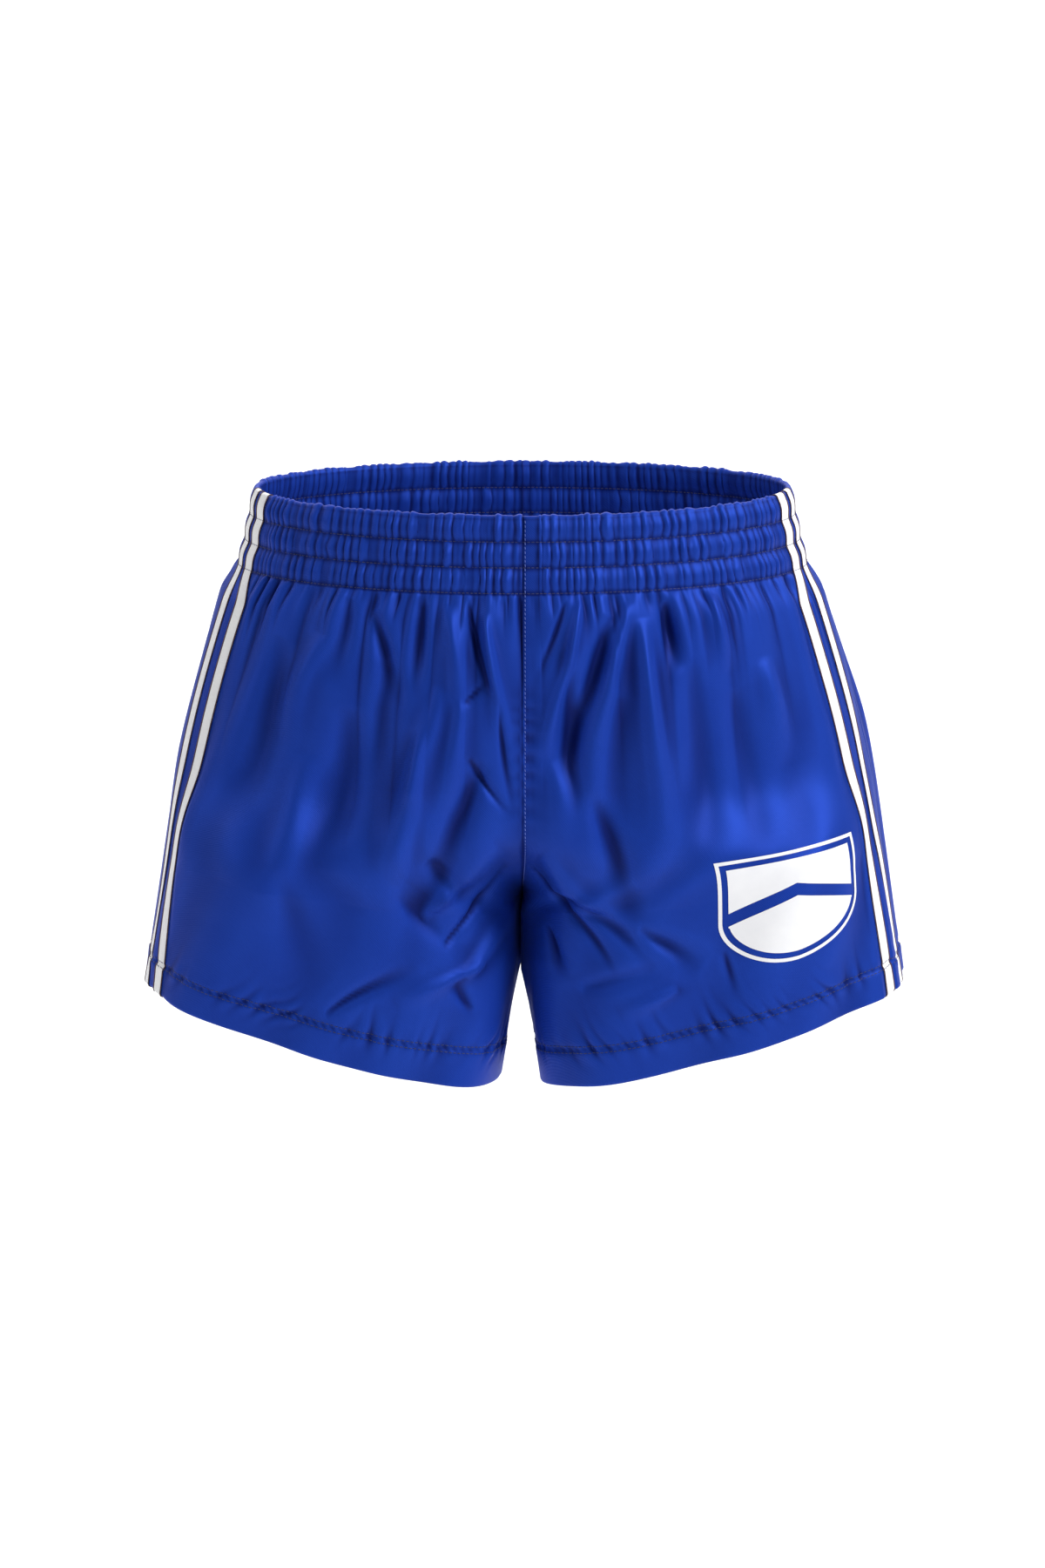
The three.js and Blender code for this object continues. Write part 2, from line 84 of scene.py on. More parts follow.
# Trim: the tapes, the cords along their edges, and how far tape and print stand off the cloth
TAPE_WIDTH = 11.0
TAPE_LIFT = 0.55
TAPE_EDGE_DROP = 0.35
CORD_INSET = 0.25
CORD_WIDE, CORD_HIGH = 0.95, 0.6
PRINT_LIFT = 0.32
# Seam allowances: width, offsets of their two faces from the cloth's, and where they start
ALLOWANCE = 9.0
ALLOWANCE_FACES = -0.9, -1.7
ALLOWANCE_START = 0.4
# Length that a quarter of the waist stands for in the pleats, gathers and random lines
REFERENCE = 215.0


def smooth(a, b, x):
    """0 below a, 1 above b and a smooth cubic step between."""
    t = np.clip((x - a) / (b - a), 0, 1)
    return t * t * (3 - 2 * t)


def through(stations):
    """A smooth line through (level, value) stations: Hermite pieces with Catmull-Rom slopes."""
    levels = np.array([s[0] for s in stations], float)
    values = np.array([s[1] for s in stations], float)
    back = np.r_[0, np.arange(len(levels) - 1)]
    on = np.r_[np.arange(1, len(levels)), len(levels) - 1]
    slopes = (values[on] - values[back]) / (levels[on] - levels[back])

    def line(level):
        level = np.asarray(level, float)
        at = np.clip(np.searchsorted(-levels, -level, side="right") - 1, 0, len(levels) - 2)
        span = levels[at + 1] - levels[at]
        t = np.clip((level - levels[at]) / span, 0, 1)
        value = values[at] + (values[at + 1] - values[at]) * t * t * (3 - 2 * t)
        value = value + t * (1 - t) ** 2 * span * slopes[at]
        return value + t * t * (t - 1) * span * slopes[at + 1]

    return line


half_width = through([(RIM, 165.5), (FOOT, 176), (-45, 187.5), (-148.5, 211), (CROTCH, 221),
                      (HEM, 233.5)])
half_depth = through([(RIM, 108), (FOOT, 111), (-40, 115), (-70, 118), (-120, 118.5),
                      (-180, 114.5), (CROTCH, 109), (HEM, 92)])
fullness = through([(RIM, 0), (FOOT, 0), (-148.5, 10), (CROTCH, 5), (HEM, 0)])
squareness = through([(RIM, 2), (FOOT, 2), (-148.5, 2.15), (CROTCH, 2.35), (HEM, 2.5)])


def inner_edge(level):
    """Half the gap between the legs. They touch for a little way below the crotch."""
    below = np.clip(OPENING - level, 0, None) / (OPENING - HEM)
    return LEG_GAP / 2 * below**GAP_POWER


def make_table():
    """Plan outlines of the left half at many levels, each cut into equal lengths per share."""
    turn = np.sin(np.linspace(0, np.pi / 2, 90))
    rows = [np.linspace(RIM + 4, CURVE_TOP, 130), CURVE_TOP - CURVE * turn[1:]]
    rows.append(np.linspace(CROTCH, HEM - 4, 80)[1:])
    rows = np.concatenate(rows)
    shares = np.linspace(-1, 1, 401)
    table = np.empty((len(rows), len(shares), 2))
    lengths = np.empty((len(rows), 2))
    for i, level in enumerate(rows):
        inner, outer = inner_edge(level), half_width(level)
        # Toward the hem the inner fold of each leg is tighter than the outer one
        power = 2 / squareness(level)
        inner_power = 2 / (squareness(level) + INNER_SQUARENESS * smooth(-CROTCH, -HEM, -level))
        # The crotch curve, averaged a little downward so that no line shows where it ends
        t = np.clip((CURVE_TOP - level + CLOSING_SPREAD) / CURVE, 0, 1)
        closed = (1 - (1 - t * t) ** CLOSING_POWER).mean()
        radius = (outer - inner) / (1 + closed)
        angle = (np.pi - np.arccos(closed ** (1 / inner_power))) * np.linspace(-1, 1, 1601)
        across, along = np.cos(angle), np.sin(angle)
        power = np.where(across < 0, inner_power, power)
        depth = half_depth(level) + np.where(along > 0, fullness(level), 0)
        x = inner + radius * closed + radius * np.sign(across) * np.abs(across) ** power
        y = depth * np.sign(along) * np.abs(along) ** power
        run = np.r_[0, np.cumsum(np.hypot(np.diff(x), np.diff(y)))]
        side = run[800]
        wanted = np.where(shares < 0, side * (1 + shares), side + (run[-1] - side) * shares)
        table[i, :, 0] = np.interp(wanted, run, x)
        table[i, :, 1] = np.interp(wanted, run, y)
        lengths[i] = side, run[-1] - side
    return rows, shares, table, lengths


ROWS, SHARES, TABLE, LENGTHS = make_table()


def look_up(level, share):
    """Plan position at a level and share, by straight steps between the table's outlines."""
    level, share = np.broadcast_arrays(np.asarray(level, float), np.asarray(share, float))
    at = np.clip(np.searchsorted(-ROWS, -level, side="right") - 1, 0, len(ROWS) - 2)
    t = np.clip((level - ROWS[at]) / (ROWS[at + 1] - ROWS[at]), 0, 1)[..., None]
    step = SHARES[1] - SHARES[0]
    place = np.clip((share + 1) / step, 0, len(SHARES) - 1.000001)
    col = place.astype(int)
    u = (place - col)[..., None]
    top = TABLE[at, col] * (1 - u) + TABLE[at, col + 1] * u
    low = TABLE[at + 1, col] * (1 - u) + TABLE[at + 1, col + 1] * u
    return top * (1 - t) + low * t


def half_length(level, back=False):
    """Length of a level line from the side seam to the front seam, or to the back seam."""
    return np.interp(-np.asarray(level, float), -ROWS, LENGTHS[:, 1 if back else 0])


def base(level, share):
    """The smooth worn shape: plan outline, lifted where the hem climbs to the side."""
    plan = look_up(level, share)
    inner = inner_edge(level)
    across = np.clip((plan[..., 0] - inner) / (half_width(level) - inner), 0, 1)
    down = np.clip((FOOT - level) / (FOOT - HEM), 0, None)
    z = level + SIDE_RISE * (across * down) ** CLIMB_POWER
    # The waist dips a little at the front
    z = z + FRONT_DIP * np.minimum(plan[..., 1], 0) * smooth(-150, -20, level)
    return np.stack([plan[..., 0], plan[..., 1], np.broadcast_to(z, plan.shape[:-1])], -1)


def unit(v):
    """Vectors scaled to a length of 1."""
    return v / np.maximum(np.linalg.norm(v, axis=-1, keepdims=True), 1e-9)


def outward(level, share):
    """Outward direction and the way down, from small steps along the level line and across it."""
    level, share = np.broadcast_arrays(np.asarray(level, float), np.asarray(share, float))
    a, b = np.clip(share - 0.006, -1, 1), np.clip(share + 0.006, -1, 1)
    along = base(level, b) - base(level, a)
    high, low = np.clip(level + 1.5, None, RIM + 3), level - 1.5
    down = base(low, share) - base(high, share)
    flat = along[..., :2]
    drift = (down[..., :2] * flat).sum(-1) / np.maximum((flat**2).sum(-1), 1e-9)
    down = unit(down - drift[..., None] * along)
    return unit(np.cross(down, along)), down


def wander(seed, rough=3):
    """A smooth random line between about -1 and 1, as a sum of sines with random phases."""
    rng = np.random.default_rng(seed)
    rates = 2 ** np.linspace(0, rough, 7) * rng.uniform(0.85, 1.15, 7)
    phases = rng.uniform(0, 2 * np.pi, 7)
    heights = 1 / rates**0.5
    heights = heights / np.sqrt((heights**2).sum() / 2) * 0.6

    def line(x):
        x = np.asarray(x, float)[..., None]
        return (heights * np.sin(x * rates + phases)).sum(-1)

    return line


# The stripes' gap and the distance of the rear one from the side seam, on the band and below it
GAP_AT_BAND, GAP_BELOW = 4.5, 10
SET_AT_BAND, SET_BELOW = 11.5, 20


def stripe_edges(level):
    """Distances of the stripes' edges from the side seam, less than 0 toward the front, in mm."""
    share = smooth(-FOOT, 45, -np.asarray(level, float))
    gap = GAP_AT_BAND + (GAP_BELOW - GAP_AT_BAND) * share
    back = SET_AT_BAND + (SET_BELOW - SET_AT_BAND) * share
    rear = -back - TAPE_WIDTH, -back
    front = rear[0] - gap - TAPE_WIDTH, rear[0] - gap
    return front, rear


# Random lines by name, each with its own roughness
W = {name: wander(seed, rough) for seed, (name, rough) in enumerate(
    [("pleat", 4), ("pleat_b", 4), ("pleat_c", 4), ("height", 3), ("lean", 3), ("a", 3), ("b", 3),
     ("c", 3), ("d", 3), ("long", 3), ("e", 2), ("f", 2), ("hem", 3), ("hem_h", 3), ("g", 2),
     ("h", 2)])}


# Height and period of the band's pleats, and how far a stuffed channel swells
PLEAT = 2.0
PLEAT_PERIOD = 5.3
CHANNEL_SWELL = 1.2
# Random line, period, height, sharpness of the crests and reach below the band, in mm
GATHERS = [
    ("a", 8.5, 2.3, 0.7, 14),
    ("b", 14.0, 3.6, 0.75, 30),
    ("c", 27.0, 4.9, 0.9, 110),
    ("pleat_b", 56.0, 4.0, 1.2, 190),
]
# Random line, height, lengths round and down the body over which it changes, and the depths below
# the band between which it grows, in mm
SLOW_WAVES = [("f", 4.6, 34, 300, 20, 120), ("g", 2.4, 20, 90, 40, 140)]
# Period, depth and reach from the front seam of the level dents, and the depth of their middle
DENT_STEP, DENT_DEPTH, DENT_REACH, DENT_MIDDLE = 12.5, 1.8, 4.0, 100
# How far behind the side seam the cloth lies flat, and how deep and wide a seam pulls it in
CALM_BEHIND = 24
TUCK_DEPTH = TUCK_REACH = 0.9
# Height and period of the puckers over the hem's stitching, and the roll of the turned hem
PUCKER, PUCKER_STEP, HEM_ROLL = 1.7, 7.5, 0.7


def ridge(phase, sharp=0.75):
    """1 on each crest and 0 in each narrow valley, once per unit of phase."""
    return np.abs(np.sin(np.pi * phase)) ** sharp


def bump(x, centre, width):
    """A bell curve: 1 at the centre and 1/e at the width to either side."""
    return np.exp(-(((x - centre) / width) ** 2))


# How much higher than written the soft folds and the sharp creases stand
SOFT_SCALE, SHARP_SCALE = 2.1, 0.95
# Folds drawn one by one as seen from the front: x and z in mm where each starts and ends, how far
# its middle bows out sideways, half width and height in mm (minus for a valley), and 1 for a sharp
# crease. A fold widens toward its end.
FOLDS = [
    (-34, -28, -12, -104, -3, 3.0, -3.6, 1),
    (-14, -92, -5, -164, -2, 3.0, -3.0, 1),
    (-23, -40, -9, -122, -1, 4.5, 2.8, 0),
    (-37, -96, -20, -80, 0, 2.6, -2.2, 1),
    (-33, -128, -5, -166, -2, 3.2, -3.6, 1),
    (-46, -34, -38, -112, 2, 7.0, 2.4, 0),
    (-50, -84, -88, -232, 0, 12.0, 3.2, 0),
    (-36, -92, -46, -166, 0, 8.0, 2.2, 0),
    (-60, -30, -68, -96, 0, 5.5, -2.8, 0),
    (-90, -40, -78, -100, 0, 6.0, -2.8, 0),
    (-104, -34, -118, -88, 0, 6.0, -2.2, 0),
    (-122, -56, -150, -120, 0, 9.0, 2.4, 0),
    (-106, -100, -118, -200, 0, 14.0, -3.2, 0),
    (-132, -130, -158, -240, 0, 13.0, 2.8, 0),
    (-70, -150, -60, -262, 0, 13.0, -2.6, 0),
    (-48, -250, -6, -198, 0, 3.4, -4.4, 1),
    (-60, -232, -14, -184, 2, 7.0, 2.8, 0),
    (-58, -194, -30, -224, 0, 7.0, -1.5, 0),
    (-34, -272, -8, -228, 0, 6.0, 2.2, 0),
    (-122, -292, -62, -262, 3, 4.5, -1.8, 0),
    (-30, -292, -44, -268, 0, 4.0, -1.4, 0),
    (35, -30, 10, -130, 3, 4.5, 2.8, 0),
    (27, -30, 7, -84, 1, 2.8, -3.0, 1),
    (53, -42, 16, -158, 2, 7.5, -3.4, 0),
    (64, -34, 44, -120, 0, 6.5, 2.6, 0),
    (73, -44, 92, -190, -3, 8.0, 4.0, 0),
    (87, -34, 96, -78, 0, 5.0, -3.0, 0),
    (104, -70, 120, -200, 0, 13.0, -2.8, 0),
    (112, -30, 128, -80, 0, 6.0, 2.4, 0),
    (148, -72, 166, -140, 0, 8.0, 2.6, 0),
    (132, -90, 150, -190, 0, 12.0, -2.2, 0),
    (60, -90, 52, -214, 0, 13.0, -3.4, 0),
    (20, -130, 34, -196, 0, 10.0, 2.0, 0),
    (4, -200, 58, -268, 4, 3.2, -3.8, 1),
    (12, -190, 64, -246, 0, 8.0, 2.6, 0),
    (18, -240, 26, -272, 0, 4.5, -2.0, 0),
    (70, -238, 112, -262, 0, 6.5, -2.2, 0),
    (124, -252, 132, -280, 0, 3.0, -1.6, 1),
    (96, -276, 60, -292, 0, 5.0, 1.6, 0),
    (26, -60, 34, -210, 0, 9.0, -3.0, 0),
    (42, -150, 70, -240, 2, 9.0, -2.6, 0),
    (-24, -130, -62, -236, -2, 9.0, -2.6, 0),
    (-84, -70, -96, -190, 0, 10.0, -2.4, 0),
    (-146, -60, -172, -180, 0, 10.0, -2.4, 0),
    (-62, -110, -76, -210, 0, 8.0, 2.2, 0),
    (22, -214, 84, -262, 2, 5.5, -2.2, 0),
    (-78, -216, -24, -262, 0, 7.5, -1.3, 0),
    (-24, -262, -78, -284, 0, 5.0, 1.8, 0),
    (36, -276, 92, -262, 0, 5.5, -1.8, 0),
    (-150, -200, -126, -284, 0, 13.0, -1.3, 0),
]


def drawn_folds(level, share, side):
    """Sum of the drawn folds: full height at the middle of each line, nothing at its two ends.

    Across a soft fold the height follows a bell curve, and across a sharp one 1 / (1 + x^2)^2.
    """
    place = base(level, share)
    x, z = side * place[..., 0], place[..., 2]
    total = np.zeros(x.shape)
    for x0, z0, x1, z1, bow, width, height, sharp in FOLDS:
        dx, dz = x1 - x0, z1 - z0
        long = math.hypot(dx, dz)
        s = np.clip(((x - x0) * dx + (z - z0) * dz) / long**2, 0, 1)
        off = ((x - x0) * dz - (z - z0) * dx) / long + bow * 4 * s * (1 - s)
        off = off / (width * (1.5 if sharp else 1.0) * (0.55 + 0.75 * s))
        profile = 1 / (1 + 1.6 * off**2) ** 2 if sharp else np.exp(-(off**2))
        scale = SHARP_SCALE if sharp else SOFT_SCALE
        total = total + scale * height * np.sin(np.pi * s**0.75) ** 1.1 * profile
    return total * smooth(8, 40, -place[..., 1])


def relief(level, share, side):
    """How far the cloth stands out from the smooth worn shape, in mm: of the band, and of the rest.

    Band: a half wave squared on each channel, and pleats as the absolute value of a sine to a power.
    Rest: gathers as such ridges that die out as exp(-(depth / reach)^2), drawn folds, slow random
    waves and a row of level dents beside the front seam.
    """
    level, share = np.broadcast_arrays(np.asarray(level, float), np.asarray(share, float))
    round_ = side * (1 + share) * REFERENCE
    t = FOOT - level
    up = (RIM - level) / CHANNEL
    # Distance behind the side seam. Near the stripes the tape holds the cloth flat
    length = half_length(level)
    from_side = np.where(share < 0, share * length, share * half_length(level, True))
    front, rear = stripe_edges(level)
    near_stripe = smooth(front[0] - 6, front[0], from_side) * (1 - smooth(8, CALM_BEHIND, from_side))
    between = smooth(front[1], front[1] + 2, from_side) * (1 - smooth(rear[0] - 2, rear[0], from_side))
    calm = 1 - near_stripe * (1 - 0.5 * between)
    # A flat strip on the wearer's left of the front seam, over the seam's allowance
    strip = (1 - smooth(9.5, 10.5, round_)) * smooth(-0.5, 0.0, round_) if side > 0 else 0 * round_
    # Band: three stuffed channels, pleated, and the pleats run on a little way below
    inside = smooth(FOOT - 1.0, FOOT, level)
    swell = np.sin(np.pi * np.clip(up, 0, 3)) ** 2
    channel = np.clip(np.floor(up), 0, 2)
    shifts = [W[name](round_ / 16) for name in ("pleat", "pleat_b", "pleat_c")]
    own = np.where(channel == 0, shifts[0], np.where(channel == 1, shifts[1], shifts[2]))
    phase = round_ / PLEAT_PERIOD + 0.9 * W["lean"](round_ / 40) + 0.14 * own * swell
    high = np.clip(0.75 + 0.6 * W["height"](round_ / 6 + 5 * channel), 0.1, 1.5)
    running = inside + (1 - inside) * np.exp(-np.clip(t, 0, None) / 7)
    pleats = calm * (1 - strip) * (0.4 + 0.6 * swell**0.6) * PLEAT * high * ridge(phase, 0.45)
    band = inside * CHANNEL_SWELL * swell**0.7 + running * pleats
    # Gathers: finer ones die out soonest, and each row is wider than the one above
    below = 1 - inside
    gathers = 0
    for name, period, height, sharp, reach in GATHERS:
        wave = (round_ + 0.05 * t * W["e"](round_ / 60)) / period + 0.9 * W[name](round_ / (period * 5))
        tall = np.clip(0.7 + 0.6 * W["long"](round_ / period + 9 * period), 0.1, 1.6)
        far = reach * np.clip(0.8 + 0.5 * W["d"](round_ / (period * 1.5) + period), 0.35, 1.6)
        start = 1 - np.exp(-np.clip(t, 0, None) / (0.22 * period))
        fading = start * np.exp(-((t / far) ** 2))
        gathers = gathers + height * tall * fading * (ridge(wave, sharp) - 0.5)
    folds = drawn_folds(level, share, side) * smooth(0, 10, t)
    out = below * calm * (1 - 0.75 * strip * np.exp(-t / 90)) * (gathers + folds)
    # Broad slow waves of loose cloth
    slow = 0
    for name, height, around, down, start, full in SLOW_WAVES:
        slow = slow + height * W[name](round_ / around + t / down) * smooth(start, full, t)
    # Below the crotch the inseam holds the cloth to its line
    inner = np.where(share < 0, (1 + share) * length, (1 - share) * half_length(level, True))
    slow = slow * (1 - np.exp(-inner / 22) * smooth(-CROTCH, -CROTCH + 12, -level))
    out = out + below * slow * (0.35 + 0.65 * calm)
    # The cloth is held close where four seams meet at the crotch
    out = out * (1 - 0.85 * bump(level, CROTCH, 13) * np.exp(-((inner / 32) ** 2)))
    # Small level dents beside the front seam, where the seam is shorter than the cloth
    dents = ridge(t / DENT_STEP + 0.5 * W["h"](t / (2 * DENT_STEP)), 1.6) * bump(t, DENT_MIDDLE, 45)
    dents = dents * smooth(0.5, 2, abs(round_)) * (0.5 if side < 0 else 1)
    out = out - DENT_DEPTH * dents * np.exp(-np.clip(abs(round_) - 5, 0, None) / DENT_REACH)
    return band, out


def seam_tuck(level, share):
    """The cloth dips into each seam: the front, back and side seams and the inseam."""
    level, share = np.broadcast_arrays(np.asarray(level, float), np.asarray(share, float))
    length = np.where(share < 0, half_length(level), half_length(level, True))
    end = (1 - np.abs(share)) * length
    mid = np.abs(share) * length
    return -TUCK_DEPTH * (np.exp(-end / TUCK_REACH) + np.exp(-mid / TUCK_REACH))


def hem_relief(level, share, side):
    """The turned hem is a little thicker, and the cloth puckers slantwise along its stitching."""
    up = level - HEM
    round_ = side * (1 + share) * REFERENCE
    tall = np.clip(0.6 + 0.7 * W["hem_h"](round_ / 9), 0.05, 1.6)
    row = HEM_ROW - HEM
    middle = row - HEM_ROW_STEP / 2
    slant = side * (up - row) / 14
    slant = slant * (0.6 + 0.5 * W["b"](round_ / 20))
    wave = round_ / PUCKER_STEP + 0.7 * W["hem"](round_ / 30) + slant
    pucker = tall * (ridge(wave, 1.1) - 0.5)
    above = np.where(up > row, np.exp(-(up - row) / 8), np.exp(-((up - row) / 9) ** 2))
    cross = 0.25 * np.sin(2 * np.pi * (round_ / 3.4 + up / 9)) * bump(up, middle, 2.2)
    roll = HEM_ROLL * (1 - smooth(20.5, 24, up)) - HEM_ROLL * bump(up, middle, 2.4)
    return pucker * above * PUCKER + cross + roll


def cloth(level, share, side, off=0.0, turn=0.0, stack=0.0, sign=1.0):
    """Points on the cloth's face, off it by some mm, or round a fold of a doubled cloth.

    Point = worn shape + outward * (cos(turn) * radius - half the stack + body relief)
    + down * (sin(turn) * radius), where the radius is half the stack plus the relief of one layer.
    """
    level, share = np.broadcast_arrays(np.asarray(level, float), np.asarray(share, float))
    at = base(level, share)
    out, down = outward(level, share)
    turn, stack, sign = np.asarray(turn, float), np.asarray(stack, float), np.asarray(sign, float)
    band, body = relief(level, share, side)
    # Pleats and puckers stand out from either layer; body folds carry both layers the same way
    own = band * np.where(turn > 2, 0.6, 1.0)
    own = own + hem_relief(level, share, side) * np.where(turn > 2, 0.3, 1.0)
    radius = stack / 2
    away = np.cos(turn) * (radius + off + own) - radius + body + seam_tuck(level, share)
    fall = np.sin(turn) * (radius + off + own) * sign
    p = at + out * np.asarray(away)[..., None] + down * np.asarray(fall)[..., None]
    # Above the crotch the front and back seams stay in the middle plane
    length = np.where(share < 0, half_length(level), half_length(level, True))
    hold = np.exp(-(1 - np.abs(share)) * length / 2.5) * (level >= CROTCH)
    p[..., 0] = p[..., 0] + (at[..., 0] - p[..., 0]) * hold
    p[..., 0] = np.maximum(p[..., 0], 0.15 * (level < CROTCH)) * side
    # Where the two legs touch, both are pressed into the same slight waves
    touch = smooth(-CROTCH - 4, -CROTCH + 8, -level) * np.exp(-np.abs(p[..., 0]) / 5)
    p[..., 0] = p[..., 0] + 1.3 * np.sin(p[..., 1] / 6.5 + p[..., 2] / 25) * touch
    return p


def new_object(name, points, faces, uv=None):
    """A smooth-shaded mesh object at the origin, from points in mm and lists of point numbers."""
    mesh = bpy.data.meshes.new(name)
    listed = faces if isinstance(faces, list) else faces.tolist()
    mesh.from_pydata((np.asarray(points) * MM).tolist(), [], listed)
    if uv is not None:
        layer = mesh.uv_layers.new(name="UVMap")
        corners = np.empty(len(mesh.loops), np.int32)
        mesh.loops.foreach_get("vertex_index", corners)
        layer.data.foreach_set("uv", np.asarray(uv)[corners].astype(np.float32).ravel())
    mesh.polygons.foreach_set("use_smooth", np.full(len(mesh.polygons), True))
    mesh.update()
    obj = bpy.data.objects.new(name, mesh)
    bpy.context.scene.collection.objects.link(obj)
    return obj


def grid_faces(rows, cols, flip=False, ring=False):
    """The four corners of each cell of a grid. On a ring the last column meets the first."""
    i, j = np.meshgrid(np.arange(rows - 1), np.arange(cols if ring else cols - 1), indexing="ij")
    k = (j + 1) % cols
    here, after = i * cols, (i + 1) * cols
    quads = np.stack([here + j, after + j, after + k, here + k], -1).reshape(-1, 4)
    return quads[:, ::-1] if flip else quads


def grid_object(name, points, flip=False, uv=None, ring=False):
    """An object from a grid of points."""
    rows, cols = points.shape[:2]
    flat_uv = None if uv is None else uv.reshape(-1, 2)
    return new_object(name, points.reshape(-1, 3), grid_faces(rows, cols, flip, ring), uv=flat_uv)


def spread(stops, steps):
    """Numbers through the stops with about the given step between each pair."""
    parts = [np.array([stops[0]], float)]
    for a, b, step in zip(stops[:-1], stops[1:], steps):
        n = max(2, int(round(abs(b - a) / (step * 1))))
        parts.append(np.linspace(a, b, n + 1)[1:])
    return np.concatenate(parts)


def folded_path():
    """Stops of one cloth: from the hem's turned edge down, up the outside, over the rim and in."""
    hem_in = spread([HEM_EDGE, HEM + HEM_STACK / 2], [2.5])
    low = spread([HEM + HEM_STACK / 2, HEM_ROW + 12, CROTCH], [1.4, 2.6])
    # Lines crowd toward the crotch's level, where the curve runs level
    turns = np.linspace(np.pi / 2, 0, 56)[1:]
    high = spread([CURVE_TOP, -60, FOOT, RIM - STACK / 2], [2.6, 0.95, 0.75])[1:]
    outer = np.r_[low, CURVE_TOP - CURVE * np.sin(turns), high]
    band_in = spread([RIM - STACK / 2, CASING_EDGE], [1.3])
    fold = np.linspace(0, np.pi, 7)[1:-1]
    hem_fold = np.array([0.75, 0.5, 0.25]) * np.pi
    level = np.r_[hem_in, np.full(3, HEM + HEM_STACK / 2), outer, np.full(len(fold), RIM - STACK / 2),
                  band_in]
    turn = np.r_[np.full(len(hem_in), np.pi), hem_fold, np.zeros(len(outer)), fold,
                 np.full(len(band_in), np.pi)]
    stack = np.r_[np.full(len(hem_in) + 3, HEM_STACK), np.zeros(len(outer)),
                  np.full(len(fold) + len(band_in), STACK)]
    sign = np.where(np.arange(len(level)) < len(hem_in) + 3, 1.0, -1.0)
    return level, turn, stack, sign


PATH = folded_path()
# Shade added at the front and back seams and the inseam, at the band's stitching and at the hem's,
# and how much stronger the hollows between the band's pleats are
SEAM_SHADE, ROW_SHADE, HEM_SHADE, BAND_SHADE = 0.8, 0.85, 0.35, 1.5


def panel(name, side, back, columns=318):
    """A cut cloth as one sheet, over the folded path and from seam to seam.

    Its attribute of painted shade is the mean height of the cloth near a point less the height there,
    raised along the seams, the channels' stitching and the hem's stitching; the satin darkens its
    colour by it.
    """
    level, turn, stack, sign = (a[:, None] for a in PATH)
    n = columns
    share = np.linspace(0, 1, n) if back else np.linspace(-1, 0, n)
    points = cloth(level, share[None, :], side, 0.0, turn, stack, sign)
    run = np.cumsum(np.r_[0, np.linalg.norm(np.diff(points[:, n // 2], axis=0), axis=-1)])
    uv = np.stack(np.broadcast_arrays(share[None, :] * 0.25, run[:, None] * MM), -1)
    obj = grid_object(name, points, flip=side > 0, uv=uv)
    height = sum(relief(level, share[None, :], side)) + hem_relief(level, share[None, :], side)
    # Painted shade: darker colour where the cloth lies below its neighbours, and along the seams and
    # stitching rows
    painted_shade = 0.8 * (blurred(height, 4) - height) + 0.2 * (blurred(height, 16) - height)
    up = np.clip((RIM - level) / CHANNEL, 0, 3)
    painted_shade = painted_shade * np.where(level > FOOT, BAND_SHADE, 1.0)
    painted_shade = painted_shade + HEM_SHADE * bump(level, HEM_ROW - HEM_ROW_STEP / 2, 3.0) * (turn < 1)
    end = (1 - np.abs(share[None, :])) * half_length(level, back)
    painted_shade = painted_shade + SEAM_SHADE * np.exp(-end / 1.6)
    flat_face = (np.cos(turn) ** 2 > 0.9) * (level > FOOT - 1)
    painted_shade = np.clip(painted_shade + ROW_SHADE * flat_face * np.cos(np.pi * up) ** 12, -0.5, 1)
    layer = obj.data.attributes.new("painted_shade", "FLOAT", "POINT")
    layer.data.foreach_set("value", painted_shade.astype(np.float32).ravel())
    return obj


def blurred(values, reach):
    """The mean of each value and its neighbours up to the reach away along a row."""
    padded = np.pad(values, ((0, 0), (reach + 1, reach)), mode="edge")
    run = np.cumsum(padded, axis=1)
    return (run[:, 2 * reach + 1 :] - run[:, : -2 * reach - 1]) / (2 * reach + 1)


def along_path(side, edges, off, columns, edge_drop=0.0):
    """A narrow strip that follows the cloth between two lines given as distances from the side seam."""
    level, turn, stack, sign = (a[:, None] for a in PATH)
    near, far = edges(level)
    length = half_length(level)
    place = np.linspace(0, 1, columns)[None, :]
    share = (near + (far - near) * place) / length
    lift = off - edge_drop * (2 * place - 1) ** 8
    points = cloth(level, share, side, lift, turn, stack, sign)
    run = np.cumsum(np.r_[0, np.linalg.norm(np.diff(points[:, 0], axis=0), axis=-1)])
    uv = np.stack(np.broadcast_arrays(place * TAPE_WIDTH * MM, run[:, None] * MM), -1)
    return points, uv


def stripe(name, side, which):
    """One white tape, which follows the cloth round its folds and thins toward its edges."""
    points, uv = along_path(
        side, lambda level: stripe_edges(level)[which], TAPE_LIFT, 9, edge_drop=TAPE_EDGE_DROP)
    return grid_object(name, points, flip=side > 0, uv=uv)


def tube(name, centres, normals, wide, high, sides=8):
    """A cord as one closed tube: an oval of the given width and height along a line of centres."""
    n = len(centres)
    ahead, behind = np.r_[centres[1:], centres[-1:]], np.r_[centres[:1], centres[:-1]]
    tangent = unit(ahead - behind)
    across = unit(np.cross(tangent, normals))
    turn = np.linspace(0, 2 * np.pi, sides, endpoint=False)
    ring = across[:, None] * np.cos(turn)[None, :, None] * wide / 2
    ring = ring + normals[:, None] * np.sin(turn)[None, :, None] * high / 2
    points = (centres[:, None] + ring).reshape(-1, 3)
    faces = grid_faces(n, sides, ring=True).tolist()
    faces.append(list(range(sides)))
    faces.append(list(range((n - 1) * sides, n * sides))[::-1])
    return new_object(name, points, faces)


